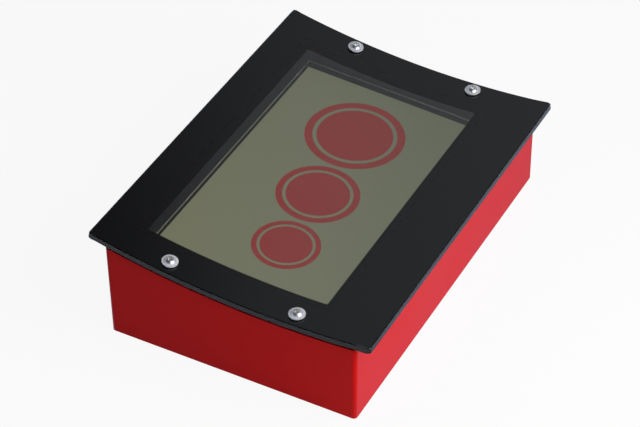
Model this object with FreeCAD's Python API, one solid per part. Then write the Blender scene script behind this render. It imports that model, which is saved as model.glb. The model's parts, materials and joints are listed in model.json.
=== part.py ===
"""Counter tray: a red sheet steel wedge, a bent glass plate on top and a flat screen below it.

Millimetres. +X runs along the long side, +Y from the low front to the high back, +Z up.
The origin is on the counter, under the middle of the whole tray.
"""
import FreeCAD, Part
import math
import os

from FreeCAD import Vector

# Room between pieces
HAIR = 0.05              # between a flat piece and a bent one that it lies on
SLIP = 0.3               # between pieces that slide past or lift off each other

# Red housing, one folded wrap of sheet steel
BODY_LENGTH = 296.0
BODY_DEPTH = 197.0
WALL = 1.5
CORNER_RADIUS = 3.0      # outside, at the upright bends
TOP_FLANGE = 8.0         # inward flange along the top of the two long walls
FOOT_DROP = 2.0          # counter to the bottom edge of the walls
FRONT_LIP_HEIGHT = 76.0  # counter to the upper front edge of the glass

# Bent glass top, a trough whose axis runs along X
GLASS_T = 5.0
GLASS_SAG = 9.5          # depth of the trough below its chord
GLASS_TILT = 4.0         # degrees that the chord rises towards the back
END_OVERHANG = 2.0       # glass past the end walls
SIDE_OVERHANG = 11.3     # glass past the long walls
GLASS_CORNER = 2.0
GLASS_ARRIS = 0.5        # bevel along the edges
PRINT_T = 0.2            # black enamel under the glass
PRINT_MARGIN = 0.6       # bare glass along the edge, just past the bevel
WINDOW_CORNER = 1.5      # of the clear opening in the enamel
VIEW_SHIFT = 8.0         # window and screen sit this far behind the middle of the glass

# Gaskets and curved end rails under the glass
GASKET_T = 2.5
GASKET_INSET = 1.5       # from the outside of the walls
RAIL_T = 1.5
RAIL_WIDTH = 13.5
RAIL_LEG = 10.0          # leg that is welded to the end wall

# Four flanged button-head screws, M5
SCREW_INSET = 8.0        # screw axis to the outside of the end wall
SCREW_PITCH = 100.0      # front screw to back screw, along the chord
SCREW_NECK_R = 2.5
SCREW_CORE_R = 2.05      # root of the thread
SCREW_FLANGE_R = 5.9
SCREW_FLANGE_T = 1.0
SCREW_HEAD_R = 4.3
SCREW_HEAD_H = 3.0
SCREW_CROWN_R = 2.4      # flat on top of the head, round the socket
SCREW_BULGE = 0.25       # dome of the head, over its straight slope
SOCKET_AF = 3.0
SOCKET_DEPTH = 1.8
WASHER_T = 0.8
WASHER_TUCK = 0.4        # the flange reaches this far past its washer
BUSH_WALL = 1.2
NUT_M5_AF = 8.0
NUT_M5_H = 4.0

# Flat screen, parallel to the chord of the glass
SCREEN_AIR = 4.8         # lowest point of the enamel to the bezel
PICTURE_INSET_X = 34.0   # outside of the end walls to the picture
PICTURE_INSET_Y = 30.0   # the same at the long walls
WINDOW_MARGIN_X = 5.0    # clear glass past the picture, at the short sides
WINDOW_MARGIN_Y = 2.0    # the same at the long sides
RIM_X = 4.0              # black rim between picture and bezel, at the short sides
RIM_Y = 3.0              # the same at the long sides
BEZEL_FACE_X = 10.5      # width of the bezel's flat front, at the short sides
BEZEL_FACE_Y = 7.0       # the same at the long sides
BEZEL_T = 1.0
BEZEL_HEIGHT = 10.5
BEZEL_CORNER = 2.5
BEZEL_EDGE = 0.7         # rolled inner edge
CELL_T = 1.4
CELL_LAP = 3.0           # how far the cell reaches under the bezel
CELL_GAP = 0.5           # bezel to cell
GUIDE_T = 4.0
PAN_T = 1.0
EAR_REACH = 6.5
EAR_WIDTH = 14.0
EAR_INSET = 33.5         # ear's middle to the bezel's front or back
EAR_HOLE_OUT = 3.5       # hole centre to the bezel's side
BRACKET_END = 15.0       # bracket past the middle of an ear
BRACKET_T = 1.5
BRACKET_LEG = 15.0
BRACKET_GAP = 0.5        # bezel's side to the bracket's edge

# M3 fasteners
M3_CORE_R = 1.25
M3_THREAD_R = 1.5
M3_HOLE_R = 1.7
M3_HEAD_R = 2.75
M3_HEAD_H = 2.0
M3_SUNK_R = 2.9          # countersunk head
M3_LENGTH = 6.0
M3_SOCKET_AF = 2.0
M3_SOCKET_DEPTH = 1.0
NUT_M3_AF = 5.5
NUT_M3_H = 2.4

# Base plate, its rails and feet
BASE_T = 1.5
BASE_GAP = 0.5
BASE_RAIL_LEG = 15.0     # flat leg that takes the screws
BASE_RAIL_RISE = 8.0     # upright leg on the long wall
BASE_RAIL_INSET = 16.5   # end of the rail to the end wall
BASE_SCREW_END = 20.0    # outer screws to the end of the rail
BASE_SCREWS_PER_RAIL = 3
FOOT_R = 7.0
FOOT_NECK_R = 3.0
FOOT_BARB_R = 4.2
FOOT_BARB_H = 5.0
FOOT_INSET_X = 22.0      # foot axis to the outside of the end wall
FOOT_INSET_Y = 26.5
VENT_LENGTH = 40.0
VENT_WIDTH = 3.0
VENT_PITCH = 8.0
VENTS_PER_ROW = 6
VENT_INSET = 58.0        # middle of each row to the outside of the end wall

# Picture player
BOARD_LENGTH = 120.0
BOARD_DEPTH = 80.0
BOARD_T = 1.6
BOARD_HOLE_INSET = 4.0
STANDOFF_H = 10.0
CHIP_SIDE = 28.0
CHIP_H = 3.0
SINK_SIDE = 40.0
SINK_FOOT = 2.5
SINK_H = 12.0
SINK_FINS = 8
SINK_FIN_T = 1.2
SINK_X = -25.0
CAPACITOR_R = 4.0
CAPACITOR_H = 11.0
CAPACITOR_PITCH = 12.0
CAPACITORS = 3
HEADER_LENGTH = 30.0
HEADER_DEPTH = 6.0
HEADER_H = 6.0
HEADER_X = 10.0
POWER_HEADER_SIDE = 10.0

# Power inlet in the back wall
INLET_INSET = 38.0       # inlet's axis to the outside of the right end wall
INLET_BARREL_R = 5.5
INLET_BARREL_LENGTH = 14.0
INLET_FLANGE_R = 7.0
INLET_FLANGE_T = 2.0
INLET_SOCKET_R = 2.75
INLET_SOCKET_DEPTH = 9.0
INLET_NUT_AF = 14.0
INLET_NUT_T = 2.5
INLET_CLEARANCE = 1.6    # nut to the base rail below it

# The trough of the glass
tilt = math.radians(GLASS_TILT)
glass_length = BODY_LENGTH + 2 * END_OVERHANG
chord = (BODY_DEPTH + 2 * SIDE_OVERHANG) / math.cos(tilt)
bend_radius = (chord ** 2 / 4 + GLASS_SAG ** 2) / (2 * GLASS_SAG)
half_angle = math.asin(chord / 2 / bend_radius)
chord_y = -GLASS_T * math.sin(tilt) * math.cos(half_angle)
chord_z = FRONT_LIP_HEIGHT + chord / 2 * math.sin(tilt)
axis_y = chord_y - (bend_radius - GLASS_SAG) * math.sin(tilt)
axis_z = chord_z + (bend_radius - GLASS_SAG) * math.cos(tilt)

# Radii of the layers, counted from the trough's axis and growing downwards
glass_under = bend_radius + GLASS_T
print_top = glass_under + HAIR
print_under = print_top + PRINT_T
gasket_top = print_under + SLIP
seat = gasket_top + GASKET_T

# Insides of the housing
inner_length = BODY_LENGTH - 2 * WALL
inner_depth = BODY_DEPTH - 2 * WALL
inner_corner = CORNER_RADIUS - WALL
flange_y = inner_depth / 2 - TOP_FLANGE
base_top = FOOT_DROP + BASE_T
base_rail_y = inner_depth / 2 - BASE_RAIL_LEG / 2
base_rail_reach = inner_length / 2 - BASE_RAIL_INSET

# Levels of the screen, above the chord's plane and so negative
bezel_top = -(GLASS_SAG + GLASS_T + HAIR + PRINT_T + SCREEN_AIR)
bezel_foot = bezel_top - BEZEL_HEIGHT
cell_top = bezel_top - BEZEL_T - CELL_GAP
guide_top = cell_top - CELL_T
pan_floor = guide_top - GUIDE_T
pan_foot = pan_floor - PAN_T
picture_length = BODY_LENGTH - 2 * PICTURE_INSET_X
picture_depth = BODY_DEPTH - 2 * PICTURE_INSET_Y
window_length = picture_length + 2 * WINDOW_MARGIN_X
window_depth = picture_depth + 2 * WINDOW_MARGIN_Y
bezel_open_length = picture_length + 2 * RIM_X
bezel_open_depth = picture_depth + 2 * RIM_Y
bezel_length = bezel_open_length + 2 * BEZEL_FACE_X
bezel_depth = bezel_open_depth + 2 * BEZEL_FACE_Y
cell_length = bezel_open_length + 2 * CELL_LAP
cell_depth = bezel_open_depth + 2 * CELL_LAP
ear_hole_x = bezel_length / 2 + EAR_HOLE_OUT
ear_reach_y = bezel_depth / 2 - EAR_INSET

# Levels of the picture player
board_under = base_top + STANDOFF_H
board_top = board_under + BOARD_T
inlet_x = BODY_LENGTH / 2 - INLET_INSET
inlet_z = base_top + BASE_RAIL_RISE + INLET_CLEARANCE + INLET_NUT_AF / 2

nodes = {}


def block(x0, x1, y0, y1, z0, z1):
    """A box from its lowest to its highest corner."""
    return Part.makeBox(x1 - x0, y1 - y0, z1 - z0, Vector(x0, y0, z0))


def rounded_block(length, depth, z0, z1, radius, y_mid=0.0):
    """A box centred on X and on y_mid, with round upright edges."""
    solid = block(-length / 2, length / 2, y_mid - depth / 2, y_mid + depth / 2, z0, z1)
    upright = [edge for edge in solid.Edges if abs(edge.tangentAt(edge.FirstParameter).z) > 0.9]
    return solid.makeFillet(radius, upright)


def rod(radius, z0, z1, x=0.0, y=0.0):
    """An upright cylinder."""
    return Part.makeCylinder(radius, z1 - z0, Vector(x, y, z0))


def hex_rod(across_flats, z0, z1, x=0.0, y=0.0):
    """An upright hexagonal prism."""
    reach = across_flats / math.sqrt(3)
    turns = [math.radians(60 * k) for k in range(7)]
    corners = [Vector(x + reach * math.cos(a), y + reach * math.sin(a), z0) for a in turns]
    return Part.Face(Part.makePolygon(corners)).extrude(Vector(0, 0, z1 - z0))


def turned(profile):
    """A solid turned about Z from straight stretches of (radius, height), closed along the axis."""
    corners = [Vector(radius, 0, height) for radius, height in profile]
    face = Part.Face(Part.makePolygon(corners + corners[:1]))
    return face.revolve(Vector(0, 0, 0), Vector(0, 0, 1), 360)


def trough_point(x, radius, angle):
    """A point of the trough; angle 0 is straight below its axis and grows towards the back."""
    return Vector(x, axis_y + radius * math.sin(angle), axis_z - radius * math.cos(angle))


def angle_at(y, radius):
    """The trough angle at which a layer passes y."""
    return math.asin((y - axis_y) / radius)


def bent_strip(x0, x1, top_radius, under_radius, angle0, angle1):
    """A strip that follows the bend of the glass: a rectangle turned about the trough's axis."""
    section = ((x0, top_radius), (x1, top_radius), (x1, under_radius), (x0, under_radius))
    corners = [trough_point(x, radius, angle0) for x, radius in section]
    face = Part.Face(Part.makePolygon(corners + corners[:1]))
    return face.revolve(Vector(0, axis_y, axis_z), Vector(1, 0, 0), math.degrees(angle1 - angle0))


def on_trough(solid, x, radius, angle):
    """Stands a solid, modelled upright on the origin, square on a layer of the trough."""
    placed = solid.copy()
    placed.rotate(Vector(0, 0, 0), Vector(1, 0, 0), math.degrees(angle))
    placed.translate(trough_point(x, radius, angle))
    return placed


def on_chord(solid):
    """Moves a solid from the flat frame of the screen, whose origin is mid-chord, to the tray's frame."""
    placed = solid.copy()
    placed.rotate(Vector(0, 0, 0), Vector(1, 0, 0), GLASS_TILT)
    placed.translate(Vector(0, chord_y, chord_z))
    return placed


def group(solids):
    """Several like pieces in one node."""
    return Part.makeCompound(solids)


# The four screw places on the glass: x and trough angle
screw_x = BODY_LENGTH / 2 - SCREW_INSET
screw_angle = math.asin(SCREW_PITCH / 2 / bend_radius)
screw_places = [(x, tilt + turn) for x in (-screw_x, screw_x) for turn in (-screw_angle, screw_angle)]


def screw_holes(radius):
    """Drills for the four screw places, long enough for every layer."""
    depth = seat + RAIL_LEG - bend_radius
    drill = rod(radius, -depth, depth)
    return [on_trough(drill, x, bend_radius, angle) for x, angle in screw_places]


def body_shell():
    """Folded wrap: four walls, ends cut to the trough, inward flanges on the long walls."""
    top = FRONT_LIP_HEIGHT + chord * math.sin(tilt)
    walls = rounded_block(BODY_LENGTH, BODY_DEPTH, FOOT_DROP, top, CORNER_RADIUS)
    walls = walls.cut(rounded_block(inner_length, inner_depth, 0, top + WALL, inner_corner))
    trough_end = Vector(-glass_length / 2, axis_y, axis_z)
    trough = Part.makeCylinder(seat, glass_length, trough_end, Vector(1, 0, 0))
    walls = walls.cut(trough)
    reach = inner_length / 2 - inner_corner
    for near, far in ((-BODY_DEPTH / 2 + WALL / 2, -flange_y), (flange_y, BODY_DEPTH / 2 - WALL / 2)):
        flange = bent_strip(-reach, reach, seat, seat + WALL, angle_at(near, seat), angle_at(far, seat))
        walls = walls.fuse(flange)
    hole = Part.makeCylinder(INLET_BARREL_R + HAIR, 2 * WALL + 2 * HAIR,
                             Vector(inlet_x, inner_depth / 2 - WALL, inlet_z), Vector(0, 1, 0))
    return walls.removeSplitter().cut(hole)


def glass_outline(margin, top_radius, under_radius):
    """The plate's outline as a bent solid with rounded corners, pulled in by a margin."""
    reach = glass_length / 2 - margin
    spread = half_angle - margin / bend_radius
    solid = bent_strip(-reach, reach, top_radius, under_radius, tilt - spread, tilt + spread)
    across = [edge for edge in solid.Edges
              if abs(edge.Length - (under_radius - top_radius)) < HAIR / 2]
    return solid.makeFillet(GLASS_CORNER, across)


def glass_plate():
    """Bent glass with bevelled edges and four bushed holes."""
    plate = glass_outline(0, bend_radius, glass_under)
    bends = [face for face in plate.Faces if face.Area > glass_length * chord / 2]
    rims = [edge for face in bends for edge in face.Edges]
    plate = plate.makeChamfer(GLASS_ARRIS, rims)
    return plate.cut(screw_holes(SCREW_NECK_R + SLIP + BUSH_WALL))


def border_print():
    """Enamel on the underside, open at the window and round the screws."""
    border = glass_outline(PRINT_MARGIN, print_top, print_under)
    window = rounded_block(window_length, window_depth, -chord, chord, WINDOW_CORNER, VIEW_SHIFT)
    border = border.cut(on_chord(window))
    return border.cut(screw_holes(SCREW_FLANGE_R - WASHER_TUCK - PRINT_MARGIN))


def glass_screw():
    """Flanged button head, hexagon socket, plain neck in the glass and a thread root below it."""
    under = HAIR + WASHER_T
    dome = under + SCREW_FLANGE_T
    crown = under + SCREW_HEAD_H
    tip = -(seat + RAIL_T + HAIR + NUT_M5_H + HAIR - bend_radius)
    neck_end = -(print_under - bend_radius)
    crown_ring = Vector(SCREW_CROWN_R, 0, crown)
    head_ring = Vector(SCREW_HEAD_R, 0, dome)
    bulge = Vector(1, 0, 1) * SCREW_BULGE
    curve = Part.Arc(crown_ring, (crown_ring + head_ring) * 0.5 + bulge, head_ring).toShape()
    flange = [(SCREW_FLANGE_R, dome), (SCREW_FLANGE_R, under)]
    neck = [(SCREW_NECK_R, under), (SCREW_NECK_R, neck_end)]
    thread = [(SCREW_CORE_R, neck_end), (SCREW_CORE_R, tip)]
    steps = flange + neck + thread + [(0, tip), (0, crown)]
    corners = [Vector(radius, 0, height) for radius, height in steps]
    outline = Part.Wire([curve] + Part.makePolygon([head_ring] + corners + [crown_ring]).Edges)
    screw = Part.Face(outline).revolve(Vector(0, 0, 0), Vector(0, 0, 1), 360)
    return screw.cut(hex_rod(SOCKET_AF, crown - SOCKET_DEPTH, crown + HAIR))


def screw_washer():
    """Soft washer under a head."""
    disc = rod(SCREW_FLANGE_R - WASHER_TUCK, HAIR, HAIR + WASHER_T)
    return disc.cut(rod(SCREW_NECK_R + HAIR, 0, 2 * WASHER_T))


def hole_bush():
    """Sleeve between a screw's neck and the glass."""
    bore = SCREW_NECK_R + SLIP / 2
    return rod(bore + BUSH_WALL, -GLASS_T, -HAIR).cut(rod(bore, -2 * GLASS_T, GLASS_T))


def end_rail(side):
    """Rolled angle: one leg under the gasket, one welded to the end wall."""
    wall = side * inner_length / 2
    span = flange_y - SLIP
    start, end = angle_at(-span, seat), angle_at(span, seat)
    shelf = sorted((wall, wall - side * RAIL_WIDTH))
    leg = sorted((wall, wall - side * RAIL_T))
    rail = bent_strip(shelf[0], shelf[1], seat, seat + RAIL_T, start, end)
    rail = rail.fuse(bent_strip(leg[0], leg[1], seat, seat + RAIL_LEG, start, end)).removeSplitter()
    return rail.cut(screw_holes(SCREW_NECK_R + SLIP))


def weld_nut():
    """Hexagon nut under a rail."""
    top = -HAIR
    return hex_rod(NUT_M5_AF, top - NUT_M5_H, top).cut(rod(SCREW_NECK_R, 2 * top - NUT_M5_H, HAIR))


def end_gasket(side):
    """Foam strip on an end rail and on the inner half of the wall's edge."""
    outer = side * (BODY_LENGTH / 2 - GASKET_INSET)
    x0, x1 = sorted((outer, outer - side * RAIL_WIDTH))
    span = flange_y - SLIP
    strip = bent_strip(x0, x1, gasket_top, seat - HAIR, angle_at(-span, seat), angle_at(span, seat))
    return strip.cut(screw_holes(SCREW_NECK_R + 4 * SLIP))


def long_gasket(side):
    """Foam strip on the flange of a long wall."""
    reach = BODY_LENGTH / 2 - GASKET_INSET
    y0, y1 = sorted((side * flange_y, side * (BODY_DEPTH / 2 - GASKET_INSET)))
    return bent_strip(-reach, reach, gasket_top, seat - HAIR, angle_at(y0, seat), angle_at(y1, seat))


def ear_places():
    """Screw places of the screen, in its flat frame."""
    return [(x, VIEW_SHIFT + y) for x in (-ear_hole_x, ear_hole_x) for y in (-ear_reach_y, ear_reach_y)]


def screen_bezel():
    """Pressed steel front: flat face with a rolled inner edge, skirt and four ears."""
    shell = rounded_block(bezel_length, bezel_depth, bezel_foot, bezel_top, BEZEL_CORNER, VIEW_SHIFT)
    hollow = rounded_block(bezel_length - 2 * BEZEL_T, bezel_depth - 2 * BEZEL_T,
                           bezel_foot - BEZEL_T, bezel_top - BEZEL_T, BEZEL_CORNER - BEZEL_T, VIEW_SHIFT)
    shell = shell.cut(hollow)
    opening = block(-bezel_open_length / 2, bezel_open_length / 2, VIEW_SHIFT - bezel_open_depth / 2,
                    VIEW_SHIFT + bezel_open_depth / 2, bezel_foot, bezel_top + BEZEL_T)
    shell = shell.cut(opening)
    inner = [edge for edge in shell.Edges if edge.BoundBox.ZMin > bezel_top - HAIR
             and abs(edge.CenterOfMass.x) < bezel_open_length / 2 + HAIR
             and abs(edge.CenterOfMass.y - VIEW_SHIFT) < bezel_open_depth / 2 + HAIR]
    shell = shell.makeFillet(BEZEL_EDGE, inner)
    for x, y in ear_places():
        root = math.copysign(bezel_length / 2 - BEZEL_T / 2, x)
        x0, x1 = sorted((root, math.copysign(bezel_length / 2 + EAR_REACH, x)))
        ear = block(x0, x1, y - EAR_WIDTH / 2, y + EAR_WIDTH / 2, bezel_foot, bezel_foot + BEZEL_T)
        shell = shell.fuse(ear.cut(rod(M3_HOLE_R, bezel_foot - BEZEL_T, bezel_foot + 2 * BEZEL_T, x, y)))
    return on_chord(shell.removeSplitter())


def screen_back():
    """Steel pan that holds the light guide and the cell inside the bezel."""
    length = bezel_length - 2 * BEZEL_T - 2 * HAIR
    depth = bezel_depth - 2 * BEZEL_T - 2 * HAIR
    radius = BEZEL_CORNER - BEZEL_T
    pan = rounded_block(length, depth, pan_foot, cell_top, radius, VIEW_SHIFT)
    hollow = block(-cell_length / 2 - HAIR, cell_length / 2 + HAIR, VIEW_SHIFT - cell_depth / 2 - HAIR,
                   VIEW_SHIFT + cell_depth / 2 + HAIR, pan_floor, cell_top + PAN_T)
    return on_chord(pan.cut(hollow))


def screen_sheet(top, thickness):
    """The cell or the light guide: a plain sheet."""
    return on_chord(block(-cell_length / 2, cell_length / 2, VIEW_SHIFT - cell_depth / 2,
                          VIEW_SHIFT + cell_depth / 2, top - thickness, top))


def screen_bracket(side):
    """Angle welded to an end wall; the ears of the screen are screwed down on it."""
    wall = side * inner_length / 2
    reach = ear_reach_y + BRACKET_END
    y0, y1 = VIEW_SHIFT - reach, VIEW_SHIFT + reach
    shelf = sorted((wall, side * (bezel_length / 2 + BRACKET_GAP)))
    leg = sorted((wall, wall - side * BRACKET_T))
    flat = block(shelf[0], shelf[1], y0, y1, bezel_foot - BRACKET_T, bezel_foot)
    upright = block(leg[0], leg[1], y0, y1, bezel_foot - BRACKET_LEG, bezel_foot)
    bracket = flat.fuse(upright).removeSplitter()
    for x, y in ear_places():
        bracket = bracket.cut(rod(M3_HOLE_R, bezel_foot - 2 * BRACKET_T, bezel_foot + BRACKET_T, x, y))
    return on_chord(bracket)


def m3_screw(under_head, length):
    """Pan-head screw with its axis on Z and a hexagon socket."""
    top, tip = under_head + M3_HEAD_H, under_head - length
    screw = turned([(0, top), (M3_HEAD_R, top), (M3_HEAD_R, under_head),
                    (M3_CORE_R, under_head), (M3_CORE_R, tip), (0, tip)])
    return screw.cut(hex_rod(M3_SOCKET_AF, top - M3_SOCKET_DEPTH, top + HAIR))


def m3_nut(top):
    """Hexagon nut with its axis on Z."""
    nut = hex_rod(NUT_M3_AF, top - NUT_M3_H, top)
    return nut.cut(rod(M3_THREAD_R, top - 2 * NUT_M3_H, top + NUT_M3_H))


def at(solid, x, y, z=0.0):
    """A moved copy."""
    placed = solid.copy()
    placed.translate(Vector(x, y, z))
    return placed


def base_screw_places():
    """Screw places of the base plate, in a row along each base rail."""
    reach = base_rail_reach - BASE_SCREW_END
    row = [reach * (2 * k / (BASE_SCREWS_PER_RAIL - 1) - 1) for k in range(BASE_SCREWS_PER_RAIL)]
    return [(x, y) for y in (-base_rail_y, base_rail_y) for x in row]


def foot_places():
    """Foot places, one near each corner."""
    x, y = BODY_LENGTH / 2 - FOOT_INSET_X, BODY_DEPTH / 2 - FOOT_INSET_Y
    return [(sx * x, sy * y) for sx in (-1, 1) for sy in (-1, 1)]


def sunk_head(slack):
    """The cone of a countersunk head that is flush with the plate's underside, grown by some slack."""
    radius, root = M3_SUNK_R + slack, M3_CORE_R + slack
    return Part.makeCone(radius, root, M3_SUNK_R - M3_CORE_R, Vector(0, 0, FOOT_DROP), Vector(0, 0, 1))


def base_plate():
    """Bottom sheet with countersunk screw holes, foot holes and two rows of vents."""
    length, depth = inner_length - 2 * BASE_GAP, inner_depth - 2 * BASE_GAP
    plate = rounded_block(length, depth, FOOT_DROP, base_top, inner_corner)
    for x, y in base_screw_places():
        plate = plate.cut(at(sunk_head(HAIR), x, y)).cut(rod(M3_HOLE_R, 0, 2 * base_top, x, y))
    for x, y in foot_places():
        plate = plate.cut(rod(FOOT_NECK_R + HAIR, 0, 2 * base_top, x, y))
    first = -(VENTS_PER_ROW - 1) / 2 * VENT_PITCH
    row_x = BODY_LENGTH / 2 - VENT_INSET
    for row in (-row_x, row_x):
        for k in range(VENTS_PER_ROW):
            y = first + k * VENT_PITCH
            slot = rounded_block(VENT_LENGTH, VENT_WIDTH, 0, 2 * base_top, VENT_WIDTH / 2 - HAIR, y)
            plate = plate.cut(at(slot, row, 0))
    return plate


def base_rail(side):
    """Angle welded along a long wall; the base plate is screwed up against it."""
    wall = side * inner_depth / 2
    shelf = sorted((wall, wall - side * BASE_RAIL_LEG))
    leg = sorted((wall, wall - side * WALL))
    reach = base_rail_reach
    flat = block(-reach, reach, shelf[0], shelf[1], base_top, base_top + WALL)
    upright = block(-reach, reach, leg[0], leg[1], base_top, base_top + BASE_RAIL_RISE)
    rail = flat.fuse(upright).removeSplitter()
    for x, y in base_screw_places():
        rail = rail.cut(rod(M3_HOLE_R, base_top - WALL, base_top + 2 * WALL, x, y))
    return rail


def base_screw():
    """Countersunk screw from below, flush with the base plate, with a hexagon socket."""
    tip = base_top + WALL + NUT_M3_H
    screw = sunk_head(0).fuse(rod(M3_CORE_R, FOOT_DROP, tip)).removeSplitter()
    return screw.cut(hex_rod(M3_SOCKET_AF, FOOT_DROP - HAIR, FOOT_DROP + M3_SOCKET_DEPTH))


def rubber_foot():
    """Push-in foot: rounded pad, neck through the plate and a barb inside."""
    pad_round = FOOT_DROP / 4
    barb = base_top + HAIR
    pad = [(0, 0), (FOOT_R - pad_round, 0), (FOOT_R, pad_round), (FOOT_R, FOOT_DROP)]
    neck = [(FOOT_NECK_R, FOOT_DROP), (FOOT_NECK_R, barb)]
    head = [(FOOT_BARB_R, barb), (FOOT_NECK_R, barb + FOOT_BARB_H), (0, barb + FOOT_BARB_H)]
    return turned(pad + neck + head)


def board_hole_places():
    """Fixing holes of the board."""
    x, y = BOARD_LENGTH / 2 - BOARD_HOLE_INSET, BOARD_DEPTH / 2 - BOARD_HOLE_INSET
    return [(sx * x, sy * y) for sx in (-1, 1) for sy in (-1, 1)]


def control_board():
    """Circuit board with four fixing holes."""
    x, y = BOARD_LENGTH / 2, BOARD_DEPTH / 2
    board = block(-x, x, -y, y, board_under, board_top)
    for x, y in board_hole_places():
        board = board.cut(rod(M3_HOLE_R, board_under - BOARD_T, board_top + BOARD_T, x, y))
    return board


def standoff():
    """Hexagon pillar pressed on the base plate."""
    pillar = hex_rod(NUT_M3_AF, base_top, board_under)
    return pillar.cut(rod(M3_THREAD_R, board_under - M3_LENGTH, board_under))


def heat_sink():
    """Finned block on the chip."""
    foot = board_top + CHIP_H
    half = SINK_SIDE / 2
    sink = block(SINK_X - half, SINK_X + half, -half, half, foot, foot + SINK_FOOT)
    pitch = (SINK_SIDE - SINK_FIN_T) / (SINK_FINS - 1)
    for k in range(SINK_FINS):
        x = SINK_X - half + k * pitch
        sink = sink.fuse(block(x, x + SINK_FIN_T, -half, half, foot, foot + SINK_H))
    return sink.removeSplitter()


# Connectors: one on the board's back edge, one behind the screen above it, one for power beside the chip
header_y = BOARD_DEPTH / 2 - BOARD_HOLE_INSET
connector_y = header_y - chord_y
power_header_x = BOARD_LENGTH / 2 - BOARD_HOLE_INSET
power_header_y = -BOARD_DEPTH / 4


def power_inlet():
    """Panel socket: flange outside the back wall, barrel through it and a blind hole for a round plug."""
    out, inward = Vector(0, 1, 0), Vector(0, -1, 0)
    seat_mid = Vector(inlet_x, BODY_DEPTH / 2, inlet_z)
    mouth = seat_mid + out * INLET_FLANGE_T
    flange = Part.makeCylinder(INLET_FLANGE_R, INLET_FLANGE_T, seat_mid, out)
    barrel = Part.makeCylinder(INLET_BARREL_R, INLET_BARREL_LENGTH, seat_mid, inward)
    socket = Part.makeCylinder(INLET_SOCKET_R, INLET_SOCKET_DEPTH, mouth, inward)
    return flange.fuse(barrel).removeSplitter().cut(socket)


def inlet_nut():
    """Nut that clamps the inlet from inside the wall."""
    bore = rod(INLET_BARREL_R + HAIR, -INLET_NUT_T, 2 * INLET_NUT_T)
    nut = hex_rod(INLET_NUT_AF, 0, INLET_NUT_T).cut(bore)
    nut.rotate(Vector(0, 0, 0), Vector(1, 0, 0), 90)
    return at(nut, inlet_x, inner_depth / 2, inlet_z)


# Housing
nodes["body_shell"] = body_shell()
for name, side in (("left", -1), ("right", 1)):
    nodes["end_rail_" + name] = end_rail(side)
    nodes["gasket_" + name] = end_gasket(side)
    nodes["screen_bracket_" + name] = screen_bracket(side)
for name, side in (("front", -1), ("back", 1)):
    nodes["gasket_" + name] = long_gasket(side)
    nodes["base_rail_" + name] = base_rail(side)
nodes["weld_nuts"] = group([on_trough(weld_nut(), x, seat + RAIL_T, angle) for x, angle in screw_places])

# Bottom
nodes["base_plate"] = base_plate()
nodes["base_screws"] = group([at(base_screw(), x, y) for x, y in base_screw_places()])
nodes["base_nuts"] = group([at(m3_nut(base_top + WALL + NUT_M3_H), x, y) for x, y in base_screw_places()])
nodes["rubber_feet"] = group([at(rubber_foot(), x, y) for x, y in foot_places()])

# Screen
nodes["screen_bezel"] = screen_bezel()
nodes["screen_cell"] = screen_sheet(cell_top, CELL_T)
nodes["light_guide"] = screen_sheet(guide_top, GUIDE_T)
nodes["screen_back"] = screen_back()
nodes["screen_screws"] = group([on_chord(at(m3_screw(bezel_foot + BEZEL_T, M3_LENGTH), x, y))
                                for x, y in ear_places()])
nodes["screen_nuts"] = group([on_chord(at(m3_nut(bezel_foot - BRACKET_T), x, y)) for x, y in ear_places()])

# Picture player
nodes["control_board"] = control_board()
nodes["board_standoffs"] = group([at(standoff(), x, y) for x, y in board_hole_places()])
nodes["board_screws"] = group([at(m3_screw(board_top, M3_LENGTH), x, y) for x, y in board_hole_places()])
nodes["player_chip"] = block(SINK_X - CHIP_SIDE / 2, SINK_X + CHIP_SIDE / 2, -CHIP_SIDE / 2, CHIP_SIDE / 2,
                             board_top, board_top + CHIP_H)
nodes["heat_sink"] = heat_sink()
capacitor = rod(CAPACITOR_R, board_top, board_top + CAPACITOR_H)
nodes["capacitors"] = group([at(capacitor, HEADER_X + k * CAPACITOR_PITCH, 0) for k in range(CAPACITORS)])
nodes["ribbon_header"] = block(HEADER_X - HEADER_LENGTH / 2, HEADER_X + HEADER_LENGTH / 2,
                               header_y - HEADER_DEPTH, header_y, board_top, board_top + HEADER_H)
nodes["screen_connector"] = on_chord(block(HEADER_X - HEADER_LENGTH / 2, HEADER_X + HEADER_LENGTH / 2,
                                           connector_y - HEADER_DEPTH, connector_y,
                                           pan_foot - HEADER_H, pan_foot))
nodes["power_header"] = block(power_header_x - POWER_HEADER_SIDE, power_header_x,
                              power_header_y - POWER_HEADER_SIDE / 2, power_header_y + POWER_HEADER_SIDE / 2,
                              board_top, board_top + POWER_HEADER_SIDE)
nodes["power_inlet"] = power_inlet()
nodes["inlet_nut"] = inlet_nut()

# Glass top, which lifts off with its screws
nodes["glass_plate"] = glass_plate()
nodes["border_print"] = border_print()
screw_stack = {"glass_screws": glass_screw(), "screw_washers": screw_washer(), "hole_bushes": hole_bush()}
for name, piece in screw_stack.items():
    nodes[name] = group([on_trough(piece, x, bend_radius, angle) for x, angle in screw_places])

os.makedirs("parts", exist_ok=True)
for name, shape in nodes.items():
    shape.exportStep("parts/" + name + ".step")
    print(name, len(shape.Solids), "solids", round(shape.Volume, 1), "mm3, valid:", shape.isValid())
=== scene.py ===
# %% [markdown]
# # A counter tray with a glass trough and a screen
# The tray is a red sheet steel wedge that stands on a shop counter. A bent glass plate lies on it as a
# shallow trough. A flat screen sits below the glass and shows a picture through a clear window in the black
# border of the glass. The CAD model gives the shapes. This lesson gives them their finishes, redraws the
# glass and its print where the look depends on fine geometry, and sets the light and the camera.

# %% Load the frame
import json
import math

import bmesh
import bpy
from mathutils import Matrix, Vector


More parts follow.
